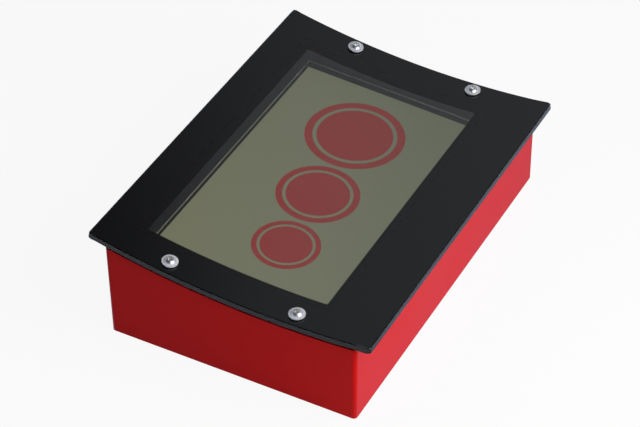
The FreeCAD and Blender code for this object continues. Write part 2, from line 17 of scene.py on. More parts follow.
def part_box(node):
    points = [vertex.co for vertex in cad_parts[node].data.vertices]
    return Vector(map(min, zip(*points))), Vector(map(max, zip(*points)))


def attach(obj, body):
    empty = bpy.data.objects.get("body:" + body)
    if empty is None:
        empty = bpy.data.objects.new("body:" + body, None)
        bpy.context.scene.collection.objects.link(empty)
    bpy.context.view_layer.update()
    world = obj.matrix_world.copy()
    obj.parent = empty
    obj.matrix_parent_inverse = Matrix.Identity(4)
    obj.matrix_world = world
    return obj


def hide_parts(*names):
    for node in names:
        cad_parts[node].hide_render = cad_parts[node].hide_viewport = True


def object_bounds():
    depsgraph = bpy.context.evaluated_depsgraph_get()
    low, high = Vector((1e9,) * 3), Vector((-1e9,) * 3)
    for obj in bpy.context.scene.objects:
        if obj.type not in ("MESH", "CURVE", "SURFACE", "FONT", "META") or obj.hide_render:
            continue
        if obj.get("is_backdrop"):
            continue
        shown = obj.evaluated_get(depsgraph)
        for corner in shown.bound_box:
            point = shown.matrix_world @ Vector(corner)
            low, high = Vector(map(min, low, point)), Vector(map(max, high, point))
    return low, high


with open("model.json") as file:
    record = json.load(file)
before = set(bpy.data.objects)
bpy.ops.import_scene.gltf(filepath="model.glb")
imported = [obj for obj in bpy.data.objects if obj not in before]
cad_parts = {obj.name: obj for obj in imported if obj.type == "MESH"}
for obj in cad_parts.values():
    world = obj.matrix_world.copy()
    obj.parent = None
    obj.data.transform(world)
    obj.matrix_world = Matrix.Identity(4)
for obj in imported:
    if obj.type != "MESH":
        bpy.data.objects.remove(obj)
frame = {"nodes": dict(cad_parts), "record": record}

cad_low, cad_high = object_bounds()
nodes = frame["nodes"]
MM = 0.001
print("nodes:", len(nodes), "size in mm:", [round(v / MM, 1) for v in cad_high - cad_low])

# %% [markdown]
# ## Tools for the finishes
# A colour picked on a screen is an sRGB value, but a shader works with linear light, so one function turns a
# hex value to linear. Another adds a shader node with its settings and links. Nodes could also be wired by
# hand in the editor. As calls, every finish below reads as a short list of what goes into it.


# %% Colour, node and material helpers
def linear(hex_value):
    """A hex sRGB colour as linear RGBA."""
    parts = [int(hex_value[i:i + 2], 16) / 255 for i in (1, 3, 5)]
    return tuple(p / 12.92 if p <= 0.04045 else ((p + 0.055) / 1.055) ** 2.4 for p in parts) + (1.0,)


def add_node(tree, kind, inputs=(), **properties):
    """Adds a shader node. Each input, by name or number, gets a value or another node's output."""
    node = tree.nodes.new(kind)
    for name, value in properties.items():
        setattr(node, name, value)
    for name, value in dict(inputs).items():
        if isinstance(value, bpy.types.NodeSocket):
            tree.links.new(value, node.inputs[name])
        else:
            node.inputs[name].default_value = value
    return node


def start_finish(name, colour, roughness, **settings):
    """A material with one Principled shader; settings are its other sockets, with _ for a space."""
    material = bpy.data.materials.new(name)
    material.use_nodes = True
    sockets = material.node_tree.nodes["Principled BSDF"].inputs
    sockets["Base Color"].default_value = linear(colour)
    sockets["Roughness"].default_value = roughness
    for socket, value in settings.items():
        sockets[socket.replace("_", " ")].default_value = value
    return material


def feed(material, socket, output):
    """Links a pattern to one socket of a finish's shader."""
    tree = material.node_tree
    tree.links.new(output, tree.nodes["Principled BSDF"].inputs[socket])


print("mid grey in linear light:", round(linear("#808080")[0], 3))

# %% [markdown]
# ## Patterns with a real size
# No real surface is even: its gloss drifts, its tone clouds, its skin has a grain. An image could carry
# that, but a procedural noise needs no unwrapping and has no seams. Each pattern is placed on the object in
# metres, so its scale is one over the real size of a patch or a grain.


# %% Uneven gloss, tone and grain
def per_mm(size_mm):
    """A texture's scale, so that one cell of its pattern has this real size."""
    return 1 / (size_mm * MM)


def patches(material, size_mm, detail):
    """Soft patches of a real size, from 0 to 1, that stay fixed to the object."""
    tree = material.node_tree
    place = add_node(tree, "ShaderNodeTexCoord").outputs["Object"]
    size = {"Vector": place, "Scale": per_mm(size_mm), "Detail": detail}
    return add_node(tree, "ShaderNodeTexNoise", size).outputs["Fac"]


def cells(material, size_mm):
    """Outputs of a pattern of uneven cells of a real size, fixed to the object too."""
    tree = material.node_tree
    place = add_node(tree, "ShaderNodeTexCoord").outputs["Object"]
    return add_node(tree, "ShaderNodeTexVoronoi", {"Vector": place, "Scale": per_mm(size_mm)}).outputs


def vary_gloss(material, size_mm, low, high, detail=2.0):
    """Roughness that drifts between two values."""
    spread = {"Value": patches(material, size_mm, detail), "To Min": low, "To Max": high}
    gloss = add_node(material.node_tree, "ShaderNodeMapRange", spread)
    feed(material, "Roughness", gloss.outputs["Result"])


# A Mix node has sockets for each kind of value; these are its two colours and their mix
MIX_A, MIX_B, MIX_RESULT = 6, 7, 2


def vary_tone(material, size_mm, dark, light, detail=2.0):
    """Colour that drifts between two hex values."""
    spread = {"Factor": patches(material, size_mm, detail), MIX_A: linear(dark), MIX_B: linear(light)}
    tone = add_node(material.node_tree, "ShaderNodeMix", spread, data_type="RGBA")
    feed(material, "Base Color", tone.outputs[MIX_RESULT])


def raise_grain(material, size_mm, height_mm, strength, detail=2.0):
    """A fine relief, too low to model, in the bump."""
    relief = {"Height": patches(material, size_mm, detail), "Strength": strength, "Distance": height_mm * MM}
    bump = add_node(material.node_tree, "ShaderNodeBump", relief)
    feed(material, "Normal", bump.outputs["Normal"])


print("scale of a 2 mm grain:", per_mm(2))

# %% [markdown]
# ## Powder-coated steel
# The housing is folded sheet steel with a baked powder coat. The powder melts and flows out almost smooth,
# but keeps a faint orange peel, waves a millimetre or two across. They are only hundredths of a millimetre
# high, so they go into the bump. The specular level is low, because a counter is darker than this white
# floor, whose mirror image would wash out the red.

# %% Red powder coat
# A deep red with a soft gloss, and a faint peel where light glances off
red_coat = start_finish("powder_coated_steel_red", "#d8110c", 0.36, Specular_IOR_Level=0.07)
raise_grain(red_coat, 1.6, 0.02, 0.25, 1.0)
vary_gloss(red_coat, 60, 0.32, 0.40)
print("made", red_coat.name)

# %% [markdown]
# ## Glass and its black print
# The plate is 5 mm float glass, bent in a mould, toughened and polished on faces and edges. A thin
# see-through film would render faster, but a closed solid that refracts shifts what lies below and gives the
# edge its own dark tone. The border is ceramic enamel, printed on the underside and fired into it, with no
# air in between. So past the window the upper face has an opaque finish: the polish, and black behind it.
# Rays that search for light between glass and print would only bring grain.

# %% Clear glass, polished edge, glass over black and the enamel
# Clear, with a hint of green and a breath of haze from wiping
clear_glass = start_finish("float_glass_polished", "#f4faf7", 0.0, IOR=1.52, Transmission_Weight=1.0)
vary_gloss(clear_glass, 45, 0.0, 0.03, 3.0)

# The wheel leaves the edge softer than the faces. A warm specular tint dims its mirror image: painted shade
edge_glass = start_finish("float_glass_polished_edge", "#dfeae6", 0.08, IOR=1.52,
                          Specular_Tint=linear("#e0d5ba"), Transmission_Weight=1.0)
vary_gloss(edge_glass, 8, 0.05, 0.14)

# A black mirror with the same haze
backed_glass = start_finish("float_glass_over_black", "#010101", 0.0, IOR=1.52)
vary_gloss(backed_glass, 45, 0.0, 0.03, 3.0)

# Dead black, a little cloudy from the printing screen
black_enamel = start_finish("ceramic_enamel_black", "#010101", 0.7, Specular_IOR_Level=0.0)
vary_tone(black_enamel, 25, "#000000", "#020202")
print("made", [m.name for m in (clear_glass, edge_glass, backed_glass, black_enamel)])

# %% [markdown]
# ## Metals
# The glass screws are turned and polished stainless steel. Rails, brackets, nuts and the base plate are
# zinc-plated steel. The heat sink is anodised aluminium, and small turned parts are nickel-plated brass. A
# metal keeps the default index of refraction: its colour is its reflection. What tells one metal from
# another is how evenly it shines, so each has a pattern of its own.

# %% Stainless steel, zinc, aluminium and nickel
# Bright, with fine rub marks that break up the highlight
stainless = start_finish("stainless_steel_polished", "#e4e4e2", 0.32, Metallic=1.0)
vary_gloss(stainless, 1.2, 0.28, 0.36, 3.0)

# Cloudy and a little blue: each zinc crystal has a gloss of its own
zinc = start_finish("zinc_plated_steel", "#aeb3b8", 0.38, Metallic=1.0)
crystal = add_node(zinc.node_tree, "ShaderNodeSeparateColor", {"Color": cells(zinc, 7)["Color"]})
spread = {"Value": crystal.outputs["Red"], "To Min": 0.30, "To Max": 0.46}
feed(zinc, "Roughness", add_node(zinc.node_tree, "ShaderNodeMapRange", spread).outputs["Result"])

# Matt and silky; the etched grain is drawn at 0.6 mm, coarser than real, so that it shows
aluminium = start_finish("anodised_aluminium", "#a5a7aa", 0.42, Metallic=1.0)
raise_grain(aluminium, 0.6, 0.01, 0.2)

# Warm white metal, glossy, with uneven polish from turning
nickel = start_finish("nickel_plated_brass", "#cfc8b8", 0.22, Metallic=1.0)
vary_gloss(nickel, 0.8, 0.16, 0.3)
print("made", [m.name for m in (stainless, zinc, aluminium, nickel)])

# %% [markdown]
# ## Foam, rubber and nylon
# Gaskets are strips of black foam, whose open cells swallow light. Feet are moulded rubber, a little dusty.
# Washers and bushes are black nylon. All three are near black, so the gloss and the relief set them apart.
# The foam's cells could be modelled, but they hide in a gap two millimetres high.

# %% Foam, rubber and nylon
# Matt, with a pitted skin
foam = start_finish("cut_foam_black", "#131313", 0.9, Specular_IOR_Level=0.2)
pits = {"Height": cells(foam, 0.6)["Distance"], "Strength": 0.6, "Distance": 0.15 * MM}
feed(foam, "Normal", add_node(foam.node_tree, "ShaderNodeBump", pits).outputs["Normal"])

# Dull black, clouded by dust
rubber = start_finish("moulded_rubber_black", "#1a1a1a", 0.65, Specular_IOR_Level=0.35)
vary_tone(rubber, 2.5, "#141414", "#222120", 4.0)

# Black with a waxy shine
nylon = start_finish("moulded_nylon_black", "#121212", 0.4)
vary_gloss(nylon, 3, 0.34, 0.48)
print("made", [m.name for m in (foam, rubber, nylon)])

# %% [markdown]
# ## Electronics
# Connectors and the power socket are moulded plastic with a fine spark-eroded grain. The board is green
# lacquer over glass cloth and copper tracks. The light guide is cast acrylic with a pattern of dots that
# lets the light out. They could be modelled track by track and dot by dot. But apart from the socket, none of
# it shows while the tray is closed, so plain patterns are enough.


# %% Plastics, board and light guide
def eroded_plastic(name, colour, roughness):
    """Dull moulded plastic; its grain is drawn at 0.4 mm, coarser than real, so that it shows."""
    material = start_finish(name, colour, roughness)
    raise_grain(material, 0.4, 0.02, 0.3, 1.0)
    return material


black_plastic = eroded_plastic("moulded_pbt_black", "#161617", 0.5)
white_plastic = eroded_plastic("moulded_pbt_white", "#d8d5c8", 0.45)

# Glossy green, with paler lines where copper lies below the lacquer
board_green = start_finish("solder_lacquer_green", "#0d4a26", 0.3)
tree = board_green.node_tree
place = add_node(tree, "ShaderNodeTexCoord").outputs["Object"]
lines = {"Vector": place, "Scale": per_mm(12), "Mortar Size": 0.03, "Color1": linear("#0d4a26"),
         "Color2": linear("#0f5229"), "Mortar": linear("#1c6b38")}
feed(board_green, "Base Color", add_node(tree, "ShaderNodeTexBrick", lines).outputs["Color"])

# Clear as glass, broken up by the dots
acrylic = start_finish("cast_acrylic", "#f2f6f6", 0.05, IOR=1.49, Transmission_Weight=0.9)
dots = {"Value": cells(acrylic, 2)["Distance"], "To Min": 0.04, "To Max": 0.12}
feed(acrylic, "Roughness", add_node(acrylic.node_tree, "ShaderNodeMapRange", dots).outputs["Result"])
print("made", [m.name for m in (black_plastic, white_plastic, board_green, acrylic)])

# %% [markdown]
# ## The screen's finishes
# The bezel is pressed steel with a satin stove enamel. The cell's front is a polarising film with an
# anti-glare grain, near black where no picture lies behind it. The picture shines a little, as on any
# screen, so its colour is emission on a dark film. It could be lit evenly, but a flat screen looks brighter
# from one side than from the other, so each colour drifts across it.


# %% Bezel, film and picture
# Dark grey and satin
bezel_enamel = start_finish("stove_enamel_dark_grey", "#252423", 0.4)
raise_grain(bezel_enamel, 0.8, 0.02, 0.2)

# Near black and matt; the grain is drawn at 0.3 mm, coarser than real, so that it shows
film = start_finish("polariser_film", "#0c0c0a", 0.5, Specular_IOR_Level=0.3)
raise_grain(film, 0.3, 0.01, 0.15, 1.0)

DRIFT_WAY = (-1, 1, 0)             # a slanting line, from the right front to the left back
DRIFT_ENDS = (-156 * MM, 188 * MM)


def lit_picture(name, right_front, left_back):
    """A lit colour of the picture that drifts from one tone to another."""
    material = start_finish(name, "#101010", 0.5, Emission_Strength=1.0)
    tree = material.node_tree
    place = add_node(tree, "ShaderNodeTexCoord").outputs["Object"]
    slant = add_node(tree, "ShaderNodeVectorMath", {0: place, 1: DRIFT_WAY}, operation="DOT_PRODUCT")
    reach = {"Value": slant.outputs["Value"], "From Min": DRIFT_ENDS[0], "From Max": DRIFT_ENDS[1]}
    share = add_node(tree, "ShaderNodeMapRange", reach)
    tones = {"Factor": share.outputs["Result"], MIX_A: linear(right_front), MIX_B: linear(left_back)}
    glow = add_node(tree, "ShaderNodeMix", tones, data_type="RGBA")
    feed(material, "Emission Color", glow.outputs[MIX_RESULT])
    return material


picture_olive = lit_picture("lit_picture_olive", "#5b5d49", "#73725a")
picture_red = lit_picture("lit_picture_red", "#74160f", "#861c14")
print("made", [m.name for m in (bezel_enamel, film, picture_olive, picture_red)])

# %% [markdown]
# ## Dress the solids
# Every solid names a material slot in its record, so a small table from slot to finish dresses all of them.
# It could be done piece by piece, but then a new piece would be forgotten.

# %% Finishes by slot
finish_of_slot = {
    "red_enamel": red_coat, "zinc_steel": zinc, "stainless_steel": stainless, "bent_glass": clear_glass,
    "black_enamel": black_enamel, "foam_rubber": foam, "foot_rubber": rubber, "nylon": nylon,
    "bezel_steel": bezel_enamel, "screen_glass": film, "acrylic": acrylic, "circuit_board": board_green,
    "black_plastic": black_plastic, "white_plastic": white_plastic, "fin_aluminium": aluminium,
    "nickel_brass": nickel,
}
for subpart in frame["record"]["subparts"]:
    mesh = nodes[subpart["node"]].data
    mesh.materials.clear()
    mesh.materials.append(finish_of_slot[subpart["material_slot"]])
print("dressed", len(nodes), "solids with", len(finish_of_slot), "finishes")

# %% [markdown]
# ## Soft edges on the housing
# The housing's sheet edges are sharp in the solid. A real coat rounds them, and the narrow round draws a
# thin light line along each edge. The round could be cut in CAD, but it belongs to the coat, not to the
# sheet. So a weld joins the seams of the mesh, and a narrow bevel breaks its edges.

# %% Weld and bevel
WELD_REACH = 0.001 * MM
EDGE_BREAK = 0.35 * MM
BREAK_STEPS = 3
BREAK_FROM = math.radians(50)  # an edge that turns more than this is broken
shell = nodes["body_shell"]
weld = shell.modifiers.new("join_seams", "WELD")
weld.merge_threshold = WELD_REACH
edge_break = shell.modifiers.new("break_edges", "BEVEL")
edge_break.width = EDGE_BREAK
edge_break.segments = BREAK_STEPS
edge_break.limit_method = "ANGLE"
edge_break.angle_limit = BREAK_FROM
edge_break.harden_normals = True
print("modifiers on the housing:", [m.name for m in shell.modifiers])

# %% [markdown]
# ## The trough's geometry
# The bent plate is part of a large cylinder whose axis runs along X, high above the tray. A point of the
# plate has an x, a distance along the bend and a depth below the upper face. One function turns those three
# into a place, so a sheet can be cut flat, as a glazier does, and then bent. The screen below is flat and
# lies parallel to the chord of the bend, so it gets a function of its own.

# %% From flat glass to bent glass
plate_low, plate_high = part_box("glass_plate")
GLASS_LENGTH = plate_high.x - plate_low.x
GLASS_DEPTH = 219.6 * MM       # level distance from the front edge to the back edge
GLASS_T = 5 * MM
GLASS_SAG = 9.5 * MM           # depth of the trough, from the chord
GLASS_TILT = math.radians(4)
LIP_HEIGHT = 76 * MM           # upper front edge above the counter

chord = GLASS_DEPTH / math.cos(GLASS_TILT)
bend_radius = (chord ** 2 / 4 + GLASS_SAG ** 2) / (2 * GLASS_SAG)
half_angle = math.asin(chord / 2 / bend_radius)
chord_mid = Vector((0, -GLASS_T * math.sin(GLASS_TILT) * math.cos(half_angle),
                    LIP_HEIGHT + chord / 2 * math.sin(GLASS_TILT)))
along_chord = Vector((0, math.cos(GLASS_TILT), math.sin(GLASS_TILT)))
off_chord = Vector((0, -math.sin(GLASS_TILT), math.cos(GLASS_TILT)))
bend_axis = chord_mid + off_chord * (bend_radius - GLASS_SAG)


def bent(x, along, depth):
    """A point of the trough: x, distance along the bend from its middle, depth below the upper face."""
    angle = along / bend_radius
    spoke = along_chord * math.sin(angle) - off_chord * math.cos(angle)
    return Vector((x, 0, 0)) + bend_axis + spoke * (bend_radius + depth)


def on_screen(x, across, height):
    """A point of the flat screen: x, distance from mid-chord towards the back, height over the chord."""
    return Vector((x, 0, 0)) + chord_mid + along_chord * across + off_chord * height


print("bend radius in mm:", round(bend_radius / MM, 1))

# %% [markdown]
# ## Outlines
# A sheet is drawn flat, as closed outlines: its rim, and the holes inside it. A rim is a rectangle with
# round corners, and a hole is a circle. Curves from the editor would do as well, but two short functions
# keep the sizes in one place.


# %% Rim and hole
CORNER_STEPS = 6
CIRCLE_STEPS = 40


def rounded_outline(x_reach, near, far, radius):
    """A rectangle with round corners, as points (x, along)."""
    points = []
    for sx, corner, start in ((1, far, 0), (-1, far, 90), (-1, near, 180), (1, near, 270)):
        cx = sx * (x_reach - radius)
        cy = corner - radius if corner == far else corner + radius
        for k in range(CORNER_STEPS + 1):
            turn = math.radians(start + 90 * k / CORNER_STEPS)
            points.append((cx + radius * math.cos(turn), cy + radius * math.sin(turn)))
    return points


def round_outline(x, along, radius, steps=CIRCLE_STEPS):
    """A circle, as points (x, along)."""
    turns = [math.tau * k / steps for k in range(steps)]
    return [(x + radius * math.cos(t), along + radius * math.sin(t)) for t in turns]


print("points of a rim:", len(rounded_outline(1, -1, 1, 0.1)))

# %% [markdown]
# ## Cut, thicken and bend a sheet
# A triangle fill closes the area between the outlines. Cuts every few millimetres give the bend enough
# points to look round. The sheet gets its thickness while it is still flat, and then every point is carried
# to its bent place. A bend modifier would do the same for one sheet, but here the glass and its print have
# to lie exactly on each other, and one formula for both makes sure of that.


# %% Flat sheets
BEND_STEP = 3 * MM             # between two cuts along the bend


def cut_sheet(sheet, point, across):
    """Cuts every face of a flat sheet along a straight line through a point."""
    everything = sheet.verts[:] + sheet.edges[:] + sheet.faces[:]
    bmesh.ops.bisect_plane(sheet, geom=everything, plane_co=point, plane_no=across)


def flat_sheet(outlines):
    """A filled flat sheet between its outlines, cut across for the bend."""
    sheet = bmesh.new()
    for outline in outlines:
        ring = [sheet.verts.new((x, along, 0)) for x, along in outline]
        for a, b in zip(ring, ring[1:] + ring[:1]):
            sheet.edges.new((a, b))
    bmesh.ops.triangle_fill(sheet, edges=sheet.edges[:], use_beauty=True, normal=(0, 0, 1))
    steps = int(max(abs(v.co.y) for v in sheet.verts) / BEND_STEP)
    for k in range(-steps, steps + 1):
        cut_sheet(sheet, (0, k * BEND_STEP, 0), (0, 1, 0))
    return sheet


def thicken(sheet, thickness):
    """Gives a flat sheet a lower face and side walls."""
    lower = bmesh.ops.extrude_face_region(sheet, geom=sheet.faces[:])["geom"]
    for part in lower:
        if isinstance(part, bmesh.types.BMVert):
            part.co.z = -thickness
    bmesh.ops.recalc_face_normals(sheet, faces=sheet.faces[:])


print("cuts across the plate:", 2 * int(bend_radius * half_angle / BEND_STEP) + 1)

# %% Objects and bent sheets
SMOOTH_LIMIT = math.radians(30)


def make_object(name, shape, *finishes):
    """Turns a shape under work into an object with its finishes."""
    mesh = bpy.data.meshes.new(name)
    shape.to_mesh(mesh)
    shape.free()
    for finish in finishes:
        mesh.materials.append(finish)
    piece = bpy.data.objects.new(name, mesh)
    bpy.context.scene.collection.objects.link(piece)
    print(name, "faces:", len(mesh.polygons))
    return piece


def bend_sheet(name, sheet, top_depth, *finishes):
    """Carries every point of a sheet to its bent place and returns it as an object."""
    for v in sheet.verts:
        v.co = bent(v.co.x, v.co.y, top_depth - v.co.z)
    for face in sheet.faces:
        face.smooth = True
    piece = make_object(name, sheet, *finishes)
    piece.data.set_sharp_from_angle(angle=SMOOTH_LIMIT)
    return piece


print("edges stay smooth up to, in degrees:", round(math.degrees(SMOOTH_LIMIT)))

# %% [markdown]
# ## The glass plate
# The plate has a hole for each screw and a small bevel, the arris, along every edge. A bump could fake the
# arris, but as a real shape it draws a thin line along the rim from every side. It is cut while the plate is
# flat, because there every rim edge is level and easy to find. The upper face is split a little way outside
# the window: inside the split the glass is clear, and outside it has the finish of glass over black.

# %% Window, screws and rim
SCREW_X = 140 * MM
SCREW_ACROSS = 50 * MM         # from mid-chord, along the chord
SCREW_HOLE_R = 4.0 * MM
GLASS_CORNER = 2 * MM
ARRIS = 0.5 * MM
WINDOW_X = 119 * MM            # half the length of the clear window
WINDOW_EDGES = (-62.5 * MM, 80.7 * MM)     # near and far edge along the chord
SLANT_ROOM = 7 * MM            # how far a slanting look through the glass can stray sideways
glass_reach = bend_radius * half_angle
window_near, window_far = (bend_radius * math.asin(edge / (bend_radius + GLASS_T)) for edge in WINDOW_EDGES)
clear_near, clear_far, clear_x = window_near - SLANT_ROOM, window_far + SLANT_ROOM, WINDOW_X + SLANT_ROOM
screw_along = bend_radius * math.asin(SCREW_ACROSS / bend_radius)
screw_places = [(sx * SCREW_X, sy * screw_along) for sx in (-1, 1) for sy in (-1, 1)]


def sheet_outlines(margin, hole_radius):
    """The plate's rim pulled in by a margin, and its screw holes."""
    reach = glass_reach - margin
    rim = rounded_outline(GLASS_LENGTH / 2 - margin, -reach, reach, GLASS_CORNER)
    return [rim] + [round_outline(x, along, hole_radius) for x, along in screw_places]


print("window along the bend in mm:", round(window_near / MM, 1), round(window_far / MM, 1))

# %% Bent glass
RIM_ANGLE = math.radians(60)   # an edge that turns more than this belongs to a rim or a hole
FLAT_FROM = 0.9                # upright share of a normal from which a face is one of the two large ones
plate = flat_sheet(sheet_outlines(0, SCREW_HOLE_R))
for x in (-clear_x, clear_x):
    cut_sheet(plate, (x, 0, 0), (1, 0, 0))
for along in (clear_near, clear_far):
    cut_sheet(plate, (0, along, 0), (0, 1, 0))
thicken(plate, GLASS_T)
rims = [edge for edge in plate.edges if edge.calc_face_angle(0) > RIM_ANGLE
        and edge.verts[0].co.z == edge.verts[1].co.z]
bmesh.ops.bevel(plate, geom=rims, offset=ARRIS, segments=1, affect="EDGES")
plate.normal_update()
CLEAR, EDGE, BACKED = range(3)
for face in plate.faces:
    mid = face.calc_center_median()
    in_window = abs(mid.x) < clear_x and clear_near < mid.y < clear_far
    if abs(face.normal.z) < FLAT_FROM:
        face.material_index = EDGE
    elif face.normal.z > 0 and not in_window:
        face.material_index = BACKED
    else:
        face.material_index = CLEAR
glass = bend_sheet("bent_glass", plate, 0, clear_glass, edge_glass, backed_glass)
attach(glass, "glass_top")
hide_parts("glass_plate")

# %% [markdown]
# ## Turned flanges
# The head of a glass screw is polished, but its flange keeps the fine circles of the lathe, which scatter
# light widely. So the flange is a matt bright ring round a darker mirror. One roughness for the whole screw
# would blur both. The faces of the flange are found by their distance from the screw's axis.


# %% Matt rings on the screw heads
FLANGE_FROM = 4.5 * MM         # from the axis; the dome ends inside this


def off_axis(point, x, along):
    """Distance of a point from the axis of the screw at this place of the plate."""
    foot = bent(x, along, 0)
    spoke = (foot - bent(x, along, MM)).normalized()
    out = point - foot
    return (out - spoke * out.dot(spoke)).length


# Silvery and matt; the lathe's marks are drawn as patches of 1 mm, coarser than real, so that they show
turned_steel = start_finish("stainless_steel_turned", "#f2f2f2", 0.82, Metallic=1.0)
vary_gloss(turned_steel, 1, 0.76, 0.88)
TURNED = 1
screws = nodes["glass_screws"].data
screws.materials.append(turned_steel)
for face in screws.polygons:
    if min(off_axis(face.center, x, along) for x, along in screw_places) > FLANGE_FROM:
        face.material_index = TURNED
print("flange faces:", sum(face.material_index == TURNED for face in screws.polygons))

# %% [markdown]
# ## The enamel border
# The print is a quarter of a millimetre thick and leaves the bevel and a ring round each screw bare. It could
# be painted on the glass as a mask, but a sheet of its own hides what is below it from every side. Its upper
# face lies a hair inside the glass, because fired enamel is part of the surface: rays in the glass then meet
# the black before they meet air.

# %% Enamel with its window
FUSED = 0.03 * MM              # how far it lies in the glass
PRINT_T = 0.25 * MM
PRINT_MARGIN = 0.6 * MM        # bare glass along the rim
PRINT_HOLE_R = 4.9 * MM
WINDOW_CORNER = 1.5 * MM
border_outlines = sheet_outlines(PRINT_MARGIN, PRINT_HOLE_R)
border_outlines.append(rounded_outline(WINDOW_X, window_near, window_far, WINDOW_CORNER))
print_sheet = flat_sheet(border_outlines)
thicken(print_sheet, PRINT_T + FUSED)
border = bend_sheet("enamel_border", print_sheet, GLASS_T - FUSED, black_enamel)
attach(border, "glass_top")
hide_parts("border_print")

# %% [markdown]
# ## The bezel's bare lip
# The bezel is blanked from sheet that was painted first, so its cut and rolled inner edge is bare steel. It
# draws a thin light line round the picture. A separate wire could stand in for it, but the solid already has
# the round, so its faces only get a second finish. They are found by their place: inside the opening, and
# not level.

# %% Bare steel on the inner edge
LIP_REACH = (119 * MM, 72.5 * MM)          # from the picture's middle to outside the rolled edge
PICTURE_MID = 8 * MM           # along the chord
LEVEL_FROM = 0.99              # share of a normal off the screen from which a face is level
# Dull and a little warm, with a burr that breaks up the line
bare_lip = start_finish("bare_steel_edge", "#b8ad9c", 0.5, Metallic=1.0)
vary_gloss(bare_lip, 3, 0.4, 0.6)
PAINTED, BARE = range(2)
bezel = nodes["screen_bezel"].data
bezel.materials.append(bare_lip)
for face in bezel.polygons:
    out = face.center - chord_mid
    inside = abs(out.x) < LIP_REACH[0] and abs(out.dot(along_chord) - PICTURE_MID) < LIP_REACH[1]
    if inside and abs(face.normal.dot(off_chord)) < LEVEL_FROM:
        face.material_index = BARE
print("lip faces:", sum(face.material_index == BARE for face in bezel.polygons))

# %% [markdown]
# ## The bezel's hem
# Along the two long sides the sheet of the bezel is turned in a little further, so that its rolled edge comes
# close to the picture. The solid stops short of that. A hem is a bar with one round edge. It could be a curve
# with a bevel, but a short section pushed along the side has exact ends that fit between the short sides.

# %% Hems on the long sides
CELL_TOP = -21.05 * MM         # front of the cell, below the chord's plane
BEZEL_RISE = 1.5 * MM          # from there to the front of the bezel
HEM_LENGTH = 236 * MM          # clear length between the short sides
HEM_SPAN = (70.3 * MM, 72.2 * MM)          # inner edge, and where the solid's flat face begins
HEM_T = 1 * MM
HEM_ROUND = 0.7 * MM
HEM_OVER = 0.02 * MM           # over the flat face, so that only one of the two shows
ROUND_STEPS = 4
PAINTED_SIDES = 3              # the underside, the outer side and the flat top
inner, outer = HEM_SPAN
top = CELL_TOP + BEZEL_RISE + HEM_OVER
section = [(outer, top - HEM_T), (outer, top)]
for k in range(ROUND_STEPS + 1):
    turn = math.radians(90 * k / ROUND_STEPS)
    section.append((inner + HEM_ROUND * (1 - math.sin(turn)), top - HEM_ROUND * (1 - math.cos(turn))))
section.append((inner, top - HEM_T))
for name, side in (("hem_front", -1), ("hem_back", 1)):
    bar = bmesh.new()
    ends = [[bar.verts.new(on_screen(x, PICTURE_MID + side * y, z)) for y, z in section]
            for x in (-HEM_LENGTH / 2, HEM_LENGTH / 2)]
    for k in range(len(section)):
        face = bar.faces.new((ends[0][k - 1], ends[0][k], ends[1][k], ends[1][k - 1]))
        face.smooth = True
        face.material_index = BARE if k >= PAINTED_SIDES else PAINTED
    for end in ends:
        bar.faces.new(end)
    bmesh.ops.recalc_face_normals(bar, faces=bar.faces[:])
    hem = make_object(name, bar, bezel_enamel, bare_lip)
    hem.data.set_sharp_from_angle(angle=SMOOTH_LIMIT)
    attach(hem, "housing")

# %% [markdown]
# ## The picture on the screen
# The screen shows a plain generic picture: three discs that grow from left to right on an olive ground, each
# with a ring inside its edge. An image texture would need a file. Flat shapes a few hundredths of a
# millimetre over the cell stay crisp from every side, and their order of height decides which one shows.

# %% Ground, discs and rings
LAYER = 0.03 * MM              # from one shape up to the next
SAME_POINT = 0.0001 * MM       # points closer than this become one
PICTURE_ENDS = (-114 * MM, 113 * MM)
PICTURE_REACH = 68.5 * MM      # to each side of its middle, across
DISCS = ((-72 * MM, 25 * MM), (-13 * MM, 31 * MM), (59 * MM, 38 * MM))     # middle in x and radius
DISC_FOOT = -38 * MM           # lowest point of every disc
DISC_STEPS = 72
RING_SHARES = (0.76, 0.84)     # inner and outer radius of a ring, as shares of its disc's


def picture_shape(name, bands, layer, finish):
    """Flat bands between pairs of outlines of equal point count, laid on the screen."""
    shape = bmesh.new()
    height = CELL_TOP + layer * LAYER
    for band in bands:
        places = [[on_screen(x, PICTURE_MID + y, height) for x, y in line] for line in band]
        inner, outer = ([shape.verts.new(place) for place in line] for line in places)
        for k in range(len(inner)):
            shape.faces.new((inner[k - 1], outer[k - 1], outer[k], inner[k]))
    bmesh.ops.remove_doubles(shape, verts=shape.verts[:], dist=SAME_POINT)
    piece = make_object(name, shape, finish)
    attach(piece, "housing")


left, right = PICTURE_ENDS
corners = [(right, PICTURE_REACH), (left, PICTURE_REACH), (left, -PICTURE_REACH), (right, -PICTURE_REACH)]
middle = [(0, 0)] * len(corners)
picture_shape("picture_ground", [(middle, corners)], 1, picture_olive)
discs, rings = [], []
for x, radius in DISCS:
    y = DISC_FOOT + radius
    middle, rim, low_ring, high_ring = (round_outline(x, y, radius * share, DISC_STEPS)
                                        for share in (0, 1) + RING_SHARES)
    discs.append((middle, rim))
    rings.append((low_ring, high_ring))
picture_shape("picture_discs", discs, 2, picture_red)
picture_shape("picture_rings", rings, 3, picture_olive)

# %% [markdown]
# ## White sweep
# The tray stands on a sweep of white paper: a floor that curves up into a low wall all round, so that no
# horizon shows. A profile spun about the upright axis gives it in one step. Lit only by the lamp, the paper
# would be grey, and more light would spoil the red. So to the camera and through glass it is mostly plain
# white, and in mirrors a white as cool as daylight. A small share of its lit shade is left in, which keeps a
# soft shadow.

